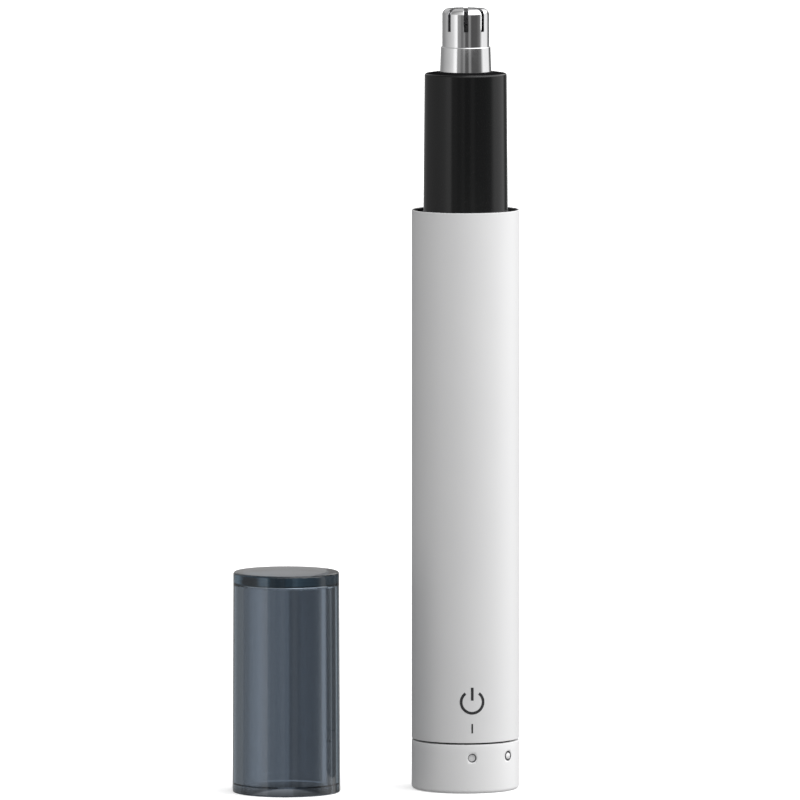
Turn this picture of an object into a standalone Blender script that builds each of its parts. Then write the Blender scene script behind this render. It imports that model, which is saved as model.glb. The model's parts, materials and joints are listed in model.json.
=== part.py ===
"""A battery nose hair trimmer, standing upright, with its clear cap off and stood beside it.

The trimmer's axis is the Z axis, its base stands on z = 0 and its printed index faces -Y.
All sizes below are in millimetres; MM turns them into Blender's metres.
A turned profile is a list of (radius, height) points that runs down the outside of the piece.
"""

import math

import bmesh
import bpy
from mathutils import Matrix, Vector

MM = 0.001
RUNNING_GAP = 0.1  # radial play between neighbouring pieces

# Case: a straight 20 mm tube on a twist base
CASE_RADIUS = 10.0
BASE_HEIGHT = 9.12
SEAM = 0.34
BARREL_BOTTOM = BASE_HEIGHT + SEAM
BARREL_TOP = 107.8
BARREL_BORE = 9.1
RIM_BORE = 9.75
RIM_DEPTH = 1.3

# Black collar that the cap slides over
NECK_FOOT_RADIUS = 7.83
NECK_TOP_RADIUS = 7.62
COLLAR_TOP = 133.4
COLLAR_CROWN = 0.3  # its top face falls by this much to its edge
SHOULDER_TOP = BARREL_TOP - 0.15
SOCKET_RADIUS = 5.0
SOCKET_FLOOR = 125.3

# Cutting head
SKIRT_RADIUS = 4.77
SKIRT_LIP_RADIUS = 4.62
SKIRT_TOP = 138.0
CAGE_RADIUS = 4.37
CAGE_WALL = 0.28
CAGE_TOP = 145.1
CAGE_ROUND = 1.2
SLOT_COUNT = 8
SLOT_WIDTH = 0.78
SLOT_FOOT = 140.9
SLOT_PHASE = -6.5
GAP_COUNT = 3  # the open sides of the cutter inside the cage
GAP_WIDTH = 3.7
GAP_PHASE = 16.0

# Cap, standing on its open rim beside the trimmer
CAP_STAND = (-33.65, -1.5)
CAP_HEIGHT = 41.0
CAP_TOP_RADIUS = 9.83
CAP_RIM_BORE = 8.1
CAP_TOP_BORE = 7.95
CAP_CEILING = 38.75

# Power cell, size AA
CELL_RADIUS = 7.1
CELL_BOTTOM = 11.2
CELL_SHOULDER = CELL_BOTTOM + 49.0
CELL_TOP = CELL_SHOULDER + 1.0
SLEEVE_BORE = 7.5
INNER_RADIUS = 8.9  # outside of the sleeve and the cradle, inside the barrel

# Motor
MOTOR_RADIUS = 7.75
MOTOR_BOTTOM = 75.0
MOTOR_TOP = 97.0
SHAFT_RADIUS = 0.75
SCREW_OFFSET = 5.0

# Twist base: the marks stand 45 degrees apart, and so do its three positions
MARK_STEP = 45.0
MARK_HEIGHT = 6.67
MARK_RADIUS = 0.92
LUG_WIDTH = 16.0
SWING = 2 * MARK_STEP

for old in list(bpy.data.objects):
    bpy.data.objects.remove(old, do_unlink=True)

parts = bpy.data.collections.new("nose_hair_trimmer")
tools = bpy.data.collections.new("cutters_and_joined_shapes")
bpy.context.scene.collection.children.link(parts)
bpy.context.scene.collection.children.link(tools)


# ---------------------------------------------------------------- materials


def finish(name, colour, roughness, metallic=0.0, alpha=1.0):
    """A Principled material of this name, made once."""
    made = bpy.data.materials.get(name)
    if made:
        return made
    made = bpy.data.materials.new(name)
    made.use_nodes = True
    shader = made.node_tree.nodes["Principled BSDF"]
    shader.inputs["Base Color"].default_value = (*colour, 1.0)
    shader.inputs["Roughness"].default_value = roughness
    shader.inputs["Metallic"].default_value = metallic
    shader.inputs["Alpha"].default_value = alpha
    made.diffuse_color = (*colour, alpha)
    return made


white_case = finish("white_case", (0.8, 0.8, 0.8), 0.4)
black_gloss = finish("black_gloss", (0.02, 0.02, 0.02), 0.15)
polished_steel = finish("polished_steel", (0.75, 0.75, 0.75), 0.12, 1.0)
blade_steel = finish("blade_steel", (0.6, 0.6, 0.62), 0.25, 1.0)
smoke_clear = finish("smoke_clear", (0.25, 0.31, 0.36), 0.05, 0.0, 0.55)
white_nylon = finish("white_nylon", (0.85, 0.85, 0.82), 0.45)
black_nylon = finish("black_nylon", (0.03, 0.03, 0.03), 0.5)
zinc_steel = finish("zinc_steel", (0.6, 0.6, 0.6), 0.3, 1.0)
brass = finish("brass", (0.75, 0.6, 0.3), 0.3, 1.0)
copper = finish("copper", (0.75, 0.35, 0.2), 0.35, 1.0)
ferrite = finish("ferrite", (0.08, 0.08, 0.08), 0.7)
cell_jacket = finish("cell_jacket", (0.1, 0.12, 0.15), 0.3)
black_rubber = finish("black_rubber", (0.02, 0.02, 0.02), 0.8)
red_lead = finish("red_lead", (0.6, 0.03, 0.03), 0.5)
ceramic_disc = finish("ceramic_disc", (0.55, 0.3, 0.08), 0.6)


# ------------------------------------------------------------ modelling tools


def polar(radius, degrees, centre=(0, 0)):
    """A point this far from the centre, at an angle from the first axis."""
    turn = math.radians(degrees)
    return centre[0] + radius * math.cos(turn), centre[1] + radius * math.sin(turn)


def arc(centre, radius, start, end, steps=4):
    """Points of an arc about the centre, from one angle to another in degrees."""
    return [polar(radius, start + (end - start) * i / steps, centre) for i in range(steps + 1)]


def sector(inner, outer, start, end, steps=8):
    """The outline of a piece of a flat ring, seen from above."""
    return arc((0, 0), outer, start, end, steps) + arc((0, 0), inner, end, start, steps)


def keep(name, data, material, parent=None, at=(0, 0, 0)):
    """Adds an object to the model, on its parent empty if it has one."""
    made = bpy.data.objects.new(name, data)
    parts.objects.link(made)
    made.location = Vector(at) * MM
    made.parent = parent
    if material:
        data.materials.append(material)
    return made


def axis(name, at=(0, 0, 0)):
    """An empty on the axis that a group of pieces moves about or along."""
    made = bpy.data.objects.new(name, None)
    parts.objects.link(made)
    made.empty_display_size = 5 * MM
    made.location = Vector(at) * MM
    return made


def sides_for(radius):
    """How many flats a round piece of this radius is turned with."""
    if radius > 9.3:
        return 40
    if radius > 6:
        return 32
    if radius > 3.3:
        return 24
    return 16 if radius > 1.2 else 10


def turned(name, profile, material, parent=None, sides=None):
    """Turns a profile about Z. A profile that ends on the axis at both ends is solid, any other is a ring."""
    solid = profile[0][0] == 0 and profile[-1][0] == 0
    count = len(profile)
    edges = [(i, i + 1) for i in range(count - 1)] + ([] if solid else [(count - 1, 0)])
    mesh = bpy.data.meshes.new(name)
    mesh.from_pydata([(r * MM, 0, z * MM) for r, z in profile], edges, [])
    made = keep(name, mesh, material, parent)
    turn = made.modifiers.new("Turn", "SCREW")
    turn.steps = turn.render_steps = sides or sides_for(max(r for r, _ in profile))
    turn.use_merge_vertices = True
    turn.merge_threshold = 1e-6
    return made


def rod(radius, low, high):
    """The profile of a plain pin."""
    return [(0, high), (radius, high), (radius, low), (0, low)]


def tube(inner, outer, low, high):
    """The profile of a plain ring or tube."""
    return [(inner, high), (outer, high), (outer, low), (inner, low)]


def ring_section(radius, height, wire, steps=6):
    """The round section of a ring such as a seal."""
    return arc((radius, height), wire, 90, 90 - 360 * (steps - 1) / steps, steps - 1)


def block(name, low, high, material=None, parent=None, turn=0.0):
    """A box between two corners, turned about Z by so many degrees."""
    size = [b - a for a, b in zip(low, high)]
    middle = [(a + b) / 2 for a, b in zip(low, high)]
    shape = bmesh.new()
    place = Matrix.Translation(Vector(middle) * MM) @ Matrix.Diagonal((*(s * MM for s in size), 1))
    bmesh.ops.create_cube(shape, size=1, matrix=Matrix.Rotation(math.radians(turn), 4, "Z") @ place)
    mesh = bpy.data.meshes.new(name)
    shape.to_mesh(mesh)
    shape.free()
    return keep(name, mesh, material, parent)


def pin(name, radius, length, place, sides=16):
    """A round bar along the local Z of a placing matrix, centred on it: a tool for holes and bosses."""
    shape = bmesh.new()
    bmesh.ops.create_cone(
        shape, cap_ends=True, segments=sides, radius1=radius * MM, radius2=radius * MM,
        depth=length * MM, matrix=place,
    )
    mesh = bpy.data.meshes.new(name)
    shape.to_mesh(mesh)
    shape.free()
    return keep(name, mesh, None)


def plate(name, outlines, low, high, material=None, parent=None, place=None):
    """A flat plate between two heights from closed outlines, the inner ones being its holes."""
    curve = bpy.data.curves.new(name, "CURVE")
    curve.dimensions = "2D"
    curve.fill_mode = "BOTH"
    curve.extrude = (high - low) / 2 * MM
    for outline in outlines:
        spline = curve.splines.new("POLY")
        spline.points.add(len(outline) - 1)
        for point, (x, y) in zip(spline.points, outline):
            point.co = (x * MM, y * MM, 0, 1)
        spline.use_cyclic_u = True
    drawn = bpy.data.objects.new(name, curve)
    tools.objects.link(drawn)
    shift = Matrix.Translation((0, 0, (low + high) / 2 * MM))
    drawn.matrix_world = (place or Matrix.Identity(4)) @ shift
    bpy.context.view_layer.update()
    graph = bpy.context.evaluated_depsgraph_get()
    mesh = bpy.data.meshes.new_from_object(drawn.evaluated_get(graph))
    mesh.transform(drawn.matrix_world)
    bpy.data.objects.remove(drawn, do_unlink=True)
    shape = bmesh.new()
    shape.from_mesh(mesh)
    bmesh.ops.remove_doubles(shape, verts=shape.verts, dist=1e-6)
    bmesh.ops.recalc_face_normals(shape, faces=shape.faces)
    shape.to_mesh(mesh)
    shape.free()
    mesh.materials.clear()
    mesh.name = name
    return keep(name, mesh, material, parent)


def bent_strip(name, side_view, width, material=None, parent=None, turn=0.0):
    """A flat strip bent to a side view of (height, radius) points. It stands out along +Y, or turned from there."""
    upright = Matrix(((0, 0, 1, 0), (0, 1, 0, 0), (1, 0, 0, 0), (0, 0, 0, 1)))
    place = Matrix.Rotation(math.radians(turn), 4, "Z") @ upright
    return plate(name, [side_view], -width / 2, width / 2, material, parent, place)


def combine(target, tool, operation):
    """Cuts the tool from the target, or joins it on, with a Boolean. The tool stays as a hidden helper."""
    parts.objects.unlink(tool)
    tools.objects.link(tool)
    tool.hide_render = True
    tool.display_type = "WIRE"
    change = target.modifiers.new(tool.name, "BOOLEAN")
    change.operation = operation
    change.object = tool


def cut(target, tool):
    combine(target, tool, "DIFFERENCE")


def join(target, tool):
    combine(target, tool, "UNION")


def wire(name, points, thickness, material, parent=None):
    """A round wire along a list of points, with closed ends."""
    curve = bpy.data.curves.new(name, "CURVE")
    curve.dimensions = "3D"
    curve.bevel_depth = thickness / 2 * MM
    curve.bevel_resolution = 1
    curve.use_fill_caps = True
    spline = curve.splines.new("POLY")
    spline.points.add(len(points) - 1)
    for point, place in zip(spline.points, points):
        point.co = (*(Vector(place) * MM), 1)
    return keep(name, curve, material, parent)


def smooth_route(knots, per_span=5):
    """Points of a smooth line through the knots: a Catmull-Rom spline."""
    knots = [Vector(k) for k in knots]
    ends = [2 * knots[0] - knots[1], *knots, 2 * knots[-1] - knots[-2]]
    points = []
    for before, start, stop, after in zip(ends, ends[1:], ends[2:], ends[3:]):
        for i in range(per_span):
            t = i / per_span
            points.append(
                0.5 * (2 * start + (stop - before) * t
                       + (2 * before - 5 * start + 4 * stop - after) * t**2
                       + (3 * start - before - 3 * stop + after) * t**3)
            )
    return points + [knots[-1]]


def coil(name, low_radius, high_radius, low, high, turns, thickness, material, parent=None, per_turn=10):
    """A coil spring about Z that may narrow towards its top."""
    steps = turns * per_turn
    points = []
    for i in range(steps + 1):
        share = i / steps
        turn = math.tau * i / per_turn
        radius = low_radius + (high_radius - low_radius) * share
        points.append((radius * math.cos(turn), radius * math.sin(turn), low + (high - low) * share))
    return wire(name, points, thickness, material, parent)


def facing(angle, radius, height):
    """A placing matrix on the case's surface whose local Z points outwards. Angle 0 faces -Y, 90 faces +X."""
    turn = Matrix.Rotation(math.radians(angle), 4, "Z")
    spot = Matrix.Translation((0, -radius * MM, height * MM))
    return turn @ spot @ Matrix.Rotation(math.radians(90), 4, "X")


# --------------------------------------------------------------- fixed case


def make_barrel():
    """The white outer tube. A rebate in its top rim takes the collar's shoulder."""
    top, bottom = BARREL_TOP, BARREL_BOTTOM
    profile = [
        (RIM_BORE + 0.05, top),
        (CASE_RADIUS - 0.12, top),
        (CASE_RADIUS, top - 0.12),
        (CASE_RADIUS, bottom + 0.1),
        (CASE_RADIUS - 0.1, bottom),
        (BARREL_BORE, bottom),
        (BARREL_BORE, top - RIM_DEPTH),
        (RIM_BORE, top - RIM_DEPTH),
        (RIM_BORE, top - 0.05),
    ]
    turned("barrel", profile, white_case)


def make_collar():
    """The black neck with its shoulder, the spigot in the barrel, and the socket that the head plugs into."""
    edge = 0.4
    foot = 99.8
    profile = [
        (SOCKET_RADIUS + 0.2, COLLAR_TOP),
        *arc((NECK_TOP_RADIUS - edge, COLLAR_TOP - COLLAR_CROWN - edge), edge, 90, 0),
        (NECK_FOOT_RADIUS, SHOULDER_TOP),
        (RIM_BORE - RUNNING_GAP - 0.1, SHOULDER_TOP),
        (RIM_BORE - RUNNING_GAP, SHOULDER_TOP - 0.1),
        (RIM_BORE - RUNNING_GAP, SHOULDER_TOP - 0.95),
        (BARREL_BORE - RUNNING_GAP, SHOULDER_TOP - 0.95),
        (BARREL_BORE - RUNNING_GAP, foot),
        (8.0, foot),
        (8.0, 106.0),
        (6.6, 107.4),
        (6.6, COLLAR_TOP - 1.6),
        (5.9, COLLAR_TOP - 1.6),
        (5.9, SOCKET_FLOOR - 1.5),
        (2.4, SOCKET_FLOOR - 1.5),
        (2.4, SOCKET_FLOOR),
        (SOCKET_RADIUS, SOCKET_FLOOR),
        (SOCKET_RADIUS, COLLAR_TOP - 0.2),
    ]
    collar = turned("collar", profile, black_gloss)
    window = (7.0, -2.3, 102.1), (9.6, 2.3, 104.0)
    for side in range(2):
        cut(collar, block(f"snap_window_{side + 1}", *window, turn=180 * side))


def make_shaft_seal():
    """A rubber grommet in the socket floor that keeps water and hair out of the motor."""
    floor = SOCKET_FLOOR
    profile = [
        (1.65, floor + 0.7), (2.8, floor + 0.7), (2.8, floor + 0.15), (2.3, floor + 0.15),
        (2.3, floor - 1.65), (2.8, floor - 1.65), (2.8, floor - 2.2), (1.65, floor - 2.2),
    ]
    turned("shaft_seal", profile, black_rubber)


def make_motor_cradle():
    """The plastic frame that holds the motor. Two hooks on its top snap into the collar."""
    profile = [
        (3.4, 99.4), (INNER_RADIUS, 99.4), (INNER_RADIUS, 64.6), (8.0, 64.6),
        (8.0, MOTOR_TOP + 0.3), (3.4, MOTOR_TOP + 0.3),
    ]
    cradle = turned("motor_cradle", profile, white_nylon)
    for side in range(2):
        turn = 180 * side
        join(cradle, block(f"snap_tab_{side + 1}", (6.7, -1.5, 98.6), (7.7, 1.5, 105.0), turn=turn))
        join(cradle, block(f"snap_hook_{side + 1}", (7.2, -1.4, 102.4), (8.7, 1.4, 103.6), turn=turn))
        window = (-3.6, 6.0, 72.0), (3.6, 10.0, 93.0)
        cut(cradle, block(f"cradle_window_{side + 1}", *window, turn=turn))
        at = Matrix.Translation(Vector((0, SCREW_OFFSET * (1 - 2 * side), 98.3)) * MM)
        cut(cradle, pin(f"cradle_screw_hole_{side + 1}", 1.1, 4.0, at))
    cut(cradle, block("strip_notch_in_cradle", (-1.8, 7.0, 64.0), (1.8, 9.6, 69.5)))


def make_battery_sleeve():
    """The plastic tube round the cell, with a groove along its back for the contact strip."""
    profile = [
        (6.9, 66.3), (7.8, 66.3), (7.8, 64.3), (INNER_RADIUS, 64.3), (INNER_RADIUS, 17.4),
        (SLEEVE_BORE, 17.4), (SLEEVE_BORE, 62.0), (3.2, 62.0), (3.2, 64.3), (6.9, 64.3),
    ]
    sleeve = turned("battery_sleeve", profile, white_nylon)
    cut(sleeve, block("strip_groove", (-1.8, 8.0, 16.0), (1.8, 9.6, 63.6)))
    cut(sleeve, block("strip_notch_in_sleeve", (-1.8, 7.3, 63.5), (1.8, 9.6, 67.0)))


def make_lock_ring():
    """The ring fixed in the barrel's foot. Its two slots guide the base's lugs through the twist."""
    ring = turned("lock_ring", tube(8.35, BARREL_BORE - RUNNING_GAP, 10.7, 15.9), black_nylon)
    reach = LUG_WIDTH / 2 + 2
    for side in range(2):
        lug = 180 * side
        travel = sector(8.0, 9.4, lug - SWING - reach, lug + reach, 16)
        entry = sector(8.0, 9.4, lug - SWING - reach, lug - SWING + reach, 4)
        cut(ring, plate(f"lug_slot_{side + 1}", [travel], 12.8, 14.2))
        cut(ring, plate(f"lug_entry_{side + 1}", [entry], 10.0, 13.5))


def make_cell_and_contacts():
    """The AA cell, the contact over its button and the strip that leads back from the base."""
    cell = [
        (0, CELL_TOP), (2.6, CELL_TOP), (2.75, CELL_TOP - 0.15), (2.75, CELL_SHOULDER),
        (CELL_RADIUS - 0.3, CELL_SHOULDER), (CELL_RADIUS, CELL_SHOULDER - 0.3),
        (CELL_RADIUS, CELL_BOTTOM + 0.3), (CELL_RADIUS - 0.3, CELL_BOTTOM), (0, CELL_BOTTOM),
    ]
    turned("aa_cell", cell, cell_jacket)
    dimple = CELL_TOP + 0.2
    contact = [
        (0, dimple + 0.3), (2.3, dimple + 0.3), (2.6, 64.8), (5.5, 64.8),
        (5.5, 64.5), (2.9, 64.5), (2.6, dimple), (0, dimple),
    ]
    turned("positive_contact", contact, brass)
    strip = [(16.75, 7.6), (17.05, 7.6), (17.05, 8.35), (69.0, 8.35), (69.0, 8.65), (16.75, 8.65)]
    bent_strip("contact_strip", strip, 2.8, brass)


# ------------------------------------------------------------------- motor


def make_motor_housing():
    """The can with its magnet, end bell, bushes, brushes and terminals."""
    can = [
        (2.0, 98.2), (3.0, 98.2), (3.0, MOTOR_TOP), (MOTOR_RADIUS - 0.3, MOTOR_TOP),
        (MOTOR_RADIUS, MOTOR_TOP - 0.3), (MOTOR_RADIUS, MOTOR_BOTTOM), (7.15, MOTOR_BOTTOM),
        (7.15, MOTOR_TOP - 0.6), (2.0, MOTOR_TOP - 0.6),
    ]
    motor_can = turned("motor_can", can, zinc_steel)
    for side in range(2):
        at = Matrix.Translation(Vector((0, SCREW_OFFSET * (1 - 2 * side), MOTOR_TOP)) * MM)
        cut(motor_can, pin(f"motor_screw_hole_{side + 1}", 0.95, 3.0, at, 14))
    turned("motor_magnet", tube(6.0, 7.0, 81.0, 94.0), ferrite)
    bell = [
        (1.85, 76.4), (3.0, 76.4), (3.0, 74.8), (7.7, 74.8), (7.7, 72.9), (7.4, 72.6), (1.85, 72.6),
    ]
    turned("motor_end_bell", bell, black_nylon)
    turned("front_bush", tube(SHAFT_RADIUS + RUNNING_GAP, 1.9, 96.6, 98.1), brass)
    turned("rear_bush", tube(SHAFT_RADIUS + RUNNING_GAP, 1.75, 73.4, 76.2), brass)
    for sign, name in ((1, "positive"), (-1, "negative")):
        brush = block(f"brush_{name}", (-3.6, 2.1, 78.2), (4.4, 2.35, 79.4), copper)
        join(brush, block(f"brush_foot_{name}", (4.0, 1.6, 75.0), (4.3, 2.85, 79.4)))
        turn = Matrix.Rotation(0 if sign > 0 else math.pi, 4, "Z")
        brush.matrix_world = turn
        brush.modifiers[0].object.matrix_world = turn
        outline = [(-1.0, -1.6), (1.0, -1.6), (1.0, 1.6), (-1.0, 1.6)]
        stand = Matrix.Translation(Vector((4.4 * sign, 0, 70.9)) * MM) @ Matrix.Rotation(math.pi / 2, 4, "X")
        plate(f"terminal_{name}", [outline, arc((0, -0.7), 0.45, 0, 330, 11)], -0.15, 0.15, brass, place=stand)


def make_wiring():
    """The suppressor across the terminals, and the two leads. The strip and contact are their far ends."""
    capacitor = turned(
        "noise_capacitor", [(0, 71.6), (1.9, 71.6), (2.1, 71.4), (2.1, 70.2), (1.9, 70.0), (0, 70.0)],
        ceramic_disc,
    )
    across = Matrix.Translation(Vector((0, 0, 70.8)) * MM) @ Matrix.Rotation(math.pi / 2, 4, "Y")
    join(capacitor, pin("capacitor_leads", 0.25, 6.2, across, 8))
    red = [(4.2, 1.6, 65.4), (4.4, 3.0, 66.4), (5.2, 3.2, 68.2), (5.0, 2.2, 70.2), (4.4, 0.9, 71.3)]
    wire("red_lead", smooth_route(red), 0.9, red_lead)
    black = [(0, 7.7, 68.4), (-1.6, 6.9, 69.0), (-4.4, 5.2, 69.2), (-4.9, 3.0, 70.2), (-4.4, 0.9, 71.3)]
    wire("black_lead", smooth_route(black), 0.9, black_rubber)


def make_motor_screws():
    """Two cross-head screws that hold the motor to the cradle's top web."""
    for side in range(2):
        y = SCREW_OFFSET * (1 - 2 * side)
        screw = turned(
            f"motor_screw_{side + 1}",
            [(0, 100.7), (1.2, 100.7), (1.8, 100.3), (1.8, 99.6), (0.8, 99.6), (0.8, 96.0), (0, 96.0)],
            zinc_steel,
        )
        screw.location.y = y * MM
        for turn in (0, 90):
            bar = block(f"drive_slot_{side + 1}_{turn}", (-0.9, -0.2, 100.3), (0.9, 0.2, 101.2), turn=turn)
            bar.location.y = y * MM
            cut(screw, bar)


def pole_outline(angle):
    """One T-shaped pole of the rotor, from the hub out round its shoe and back, seen from above."""
    half_arm, hub, shoe_inner, shoe_outer, half_shoe = 0.9, 1.7, 4.3, 5.3, 42
    arm_at_hub = math.degrees(math.asin(half_arm / hub))
    arm_at_shoe = math.degrees(math.asin(half_arm / shoe_inner))
    return [
        polar(hub, angle - arm_at_hub),
        *arc((0, 0), shoe_inner, angle - arm_at_shoe, angle - half_shoe, 3),
        *arc((0, 0), shoe_outer, angle - half_shoe, angle + half_shoe, 8),
        *arc((0, 0), shoe_inner, angle + half_shoe, angle + arm_at_shoe, 3),
        polar(hub, angle + arm_at_hub),
    ]


def make_rotor(spin):
    """Everything on the motor shaft, up to the long coupler that drives the blade."""
    turned("motor_shaft", rod(SHAFT_RADIUS, 73.0, 104.4), zinc_steel, spin)
    outline = [point for pole in range(3) for point in pole_outline(120 * pole)]
    hole = arc((0, 0), SHAFT_RADIUS + RUNNING_GAP, 0, 330, 11)
    plate("rotor_core", [outline, hole], 82.0, 93.0, zinc_steel, spin)
    for pole in range(3):
        turn = 120 * pole
        winding = block(f"rotor_winding_{pole + 1}", (2.3, -1.7, 80.6), (3.75, 1.7, 94.4), copper, spin, turn)
        cut(winding, block(f"winding_core_{pole + 1}", (1.5, -1.05, 81.85), (5.0, 1.05, 93.15), turn=turn))
    commutator = turned("commutator", tube(SHAFT_RADIUS + RUNNING_GAP, 1.9, 77.0, 80.2), brass, spin)
    for segment in range(3):
        gap = block(f"commutator_gap_{segment + 1}", (1.4, -0.15, 76.0), (2.5, 0.15, 81.0), turn=60 + 120 * segment)
        cut(commutator, gap)
    stem = [
        (0, 127.2), (1.3, 127.2), (1.5, 127.0), (1.5, 105.5), (2.4, 104.8), (2.4, 99.9),
        (SHAFT_RADIUS + RUNNING_GAP, 99.9), (SHAFT_RADIUS + RUNNING_GAP, 104.6), (0, 104.6),
    ]
    coupler = turned("drive_coupler", stem, white_nylon, spin)
    join(coupler, block("drive_square", (-0.85, -0.85, 126.6), (0.85, 0.85, 132.6)))


# ------------------------------------------------------------- cutting head


def make_head(head):
    """The bright skirt, the slotted cage, the insert that plugs into the collar, its seal and the spring."""
    skirt = [
        (4.45, SKIRT_TOP), (SKIRT_LIP_RADIUS - 0.12, SKIRT_TOP), (SKIRT_LIP_RADIUS, SKIRT_TOP - 0.12),
        (SKIRT_RADIUS, COLLAR_TOP), (SKIRT_RADIUS, 127.1), (4.5, 127.1), (4.5, SKIRT_TOP - 0.2),
        (4.45, SKIRT_TOP - 0.2),
    ]
    turned("head_skirt", skirt, polished_steel, head, 32)
    shoulder = (CAGE_RADIUS - CAGE_ROUND, CAGE_TOP - CAGE_ROUND)
    cage = [
        (0, CAGE_TOP),
        *arc(shoulder, CAGE_ROUND, 90, 0, 4),
        (CAGE_RADIUS, 129.6),
        (CAGE_RADIUS - CAGE_WALL, 129.6),
        *arc(shoulder, CAGE_ROUND - CAGE_WALL, 0, 90, 4),
        (0, CAGE_TOP - CAGE_WALL),
    ]
    outer_blade = turned("outer_blade", cage, polished_steel, head, 32)
    half = SLOT_WIDTH / 2
    for slot in range(SLOT_COUNT):
        opening = (1.4, -half, SLOT_FOOT), (6.0, half, 147.0)
        cut(outer_blade, block(f"cage_slot_{slot + 1}", *opening, turn=SLOT_PHASE + 270 + 360 / SLOT_COUNT * slot))
    insert = [
        (2.65, 131.5), (3.95, 131.5), (3.95, 129.4), (4.35, 129.4), (4.35, 126.9), (4.85, 126.9),
        (4.85, 126.55), (4.42, 126.55), (4.42, 126.05), (4.85, 126.05), (4.85, 125.7), (3.1, 125.7),
        (3.1, 129.0), (2.65, 129.0),
    ]
    turned("head_insert", insert, black_nylon, head)
    turned("head_seal", ring_section(4.68, 126.3, 0.2), black_rubber, head)
    coil("blade_spring", 3.25, 3.25, 131.9, 137.7, 5, 0.35, zinc_steel, head)


def make_blade(blade):
    """The spinning cutter inside the cage, on a carrier with a square socket for the coupler."""
    shoulder = (CAGE_RADIUS - CAGE_ROUND, CAGE_TOP - CAGE_ROUND)
    outside, inside = CAGE_ROUND - CAGE_WALL - 0.15, CAGE_ROUND - CAGE_WALL - 0.5
    cup = [
        (0, shoulder[1] + outside),
        *arc(shoulder, outside, 90, 0, 3),
        (shoulder[0] + outside, 139.5),
        (shoulder[0] + inside, 139.5),
        *arc(shoulder, inside, 0, 90, 3),
        (0, shoulder[1] + inside),
    ]
    inner_blade = turned("inner_blade", cup, blade_steel, blade)
    half = GAP_WIDTH / 2
    for gap in range(GAP_COUNT):
        opening = (2.0, -half, 140.7), (6.0, half, 146.0)
        cut(inner_blade, block(f"blade_gap_{gap + 1}", *opening, turn=GAP_PHASE + 270 + 360 / GAP_COUNT * gap))
    body = [
        (0, 142.0), (1.2, 142.0), (1.6, 141.0), (3.45, 141.0), (3.45, 139.3), (3.85, 139.3),
        (3.85, 138.4), (2.4, 138.0), (2.4, 128.8), (2.0, 128.8), (2.0, 128.2), (2.4, 128.2),
        (2.4, 127.6), (0, 127.6),
    ]
    carrier = turned("blade_carrier", body, black_nylon, blade, 24)
    cut(carrier, block("carrier_socket", (-1.0, -1.0, 127.0), (1.0, 1.0, 133.0)))
    turned("retaining_clip", tube(2.1, 2.9, 128.3, 128.7), zinc_steel, blade)


# --------------------------------------------------------------- twist base


def make_base_shell(base):
    """The white cup underneath. A dot, a ring and a bar are sunk in its wall for off, on and open."""
    edge, wall_inside, sunk = 0.7, 8.8, 0.55
    profile = [
        (0, 0.9), (1.35, 0.9), (1.35, 3.6), (3.0, 3.6), (3.0, 1.3), (wall_inside, 1.3),
        (wall_inside, BASE_HEIGHT), (CASE_RADIUS - 0.1, BASE_HEIGHT),
        (CASE_RADIUS, BASE_HEIGHT - 0.1), *arc((CASE_RADIUS - edge, edge), edge, 0, -90, 5), (0, 0),
    ]
    shell = turned("base_shell", profile, white_case, base)
    cut(shell, pin("dot_mark", MARK_RADIUS - 0.1, 2 * sunk, facing(0, CASE_RADIUS, MARK_HEIGHT), 20))
    groove = turned("ring_mark", tube(MARK_RADIUS - 0.38, MARK_RADIUS, -sunk, sunk), None, sides=20)
    groove.matrix_world = facing(MARK_STEP, CASE_RADIUS, MARK_HEIGHT)
    cut(shell, groove)
    bar = block("bar_mark", (-0.2, -MARK_RADIUS, -sunk), (0.2, MARK_RADIUS, sunk))
    bar.matrix_world = facing(2 * MARK_STEP, CASE_RADIUS, MARK_HEIGHT)
    cut(shell, bar)
    for rib in range(3):
        join(shell, block(f"key_rib_{rib + 1}", (8.0, -0.6, 1.0), (9.2, 0.6, 3.4), turn=120 * rib + 30))


def make_base_plug(base):
    """The inner half of the base: it carries the contact and reaches into the barrel with two lugs."""
    profile = [
        (7.4, 16.0), (8.0, 16.0), (8.0, 9.6), (8.6, 9.2), (8.6, 1.5), (7.4, 1.5), (7.4, 3.8),
        (1.5, 3.8), (1.5, 5.2), (7.4, 5.2),
    ]
    plug = turned("base_plug", profile, black_nylon, base)
    for side in range(2):
        lug = sector(7.7, 8.8, 180 * side - LUG_WIDTH / 2, 180 * side + LUG_WIDTH / 2, 4)
        join(plug, plate(f"lug_{side + 1}", [lug], 13.0, 14.0))
    for notch in range(3):
        cut(plug, block(f"key_notch_{notch + 1}", (7.0, -0.8, 0.5), (9.6, 0.8, 3.6), turn=120 * notch + 30))
    arm = 90 + MARK_STEP
    cut(plug, block("arm_slot", (7.0, -1.5, 5.15), (8.9, 1.5, 17.0), turn=arm))


def make_base_contacts(base):
    """The stamped negative contact, its conical spring, and the screw that clamps them to the shell."""
    contact = turned("negative_contact", tube(1.5, 6.9, 5.3, 5.6), brass, base)
    wiper = [
        (5.35, 6.0), (5.35, 7.85), (16.2, 7.85), (16.2, 8.7), (16.45, 8.7), (16.45, 7.6),
        (5.55, 7.6), (5.55, 6.0),
    ]
    join(contact, bent_strip("contact_wiper", wiper, 2.4, turn=MARK_STEP))
    coil("contact_spring", 5.6, 3.2, 6.05, 10.75, 4, 0.6, zinc_steel, base)
    screw = turned(
        "base_screw",
        [(0, 6.7), (1.7, 6.7), (2.3, 6.3), (2.3, 5.75), (1.2, 5.75), (1.2, 1.2), (0, 1.2)],
        zinc_steel, base,
    )
    for turn in (0, 90):
        cut(screw, block(f"base_screw_slot_{turn}", (-1.3, -0.25, 6.2), (1.3, 0.25, 7.2), turn=turn))
    turned("base_seal", ring_section(8.55, 10.1, 0.4), black_rubber, base)


# --------------------------------------------------------------------- cap


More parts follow.
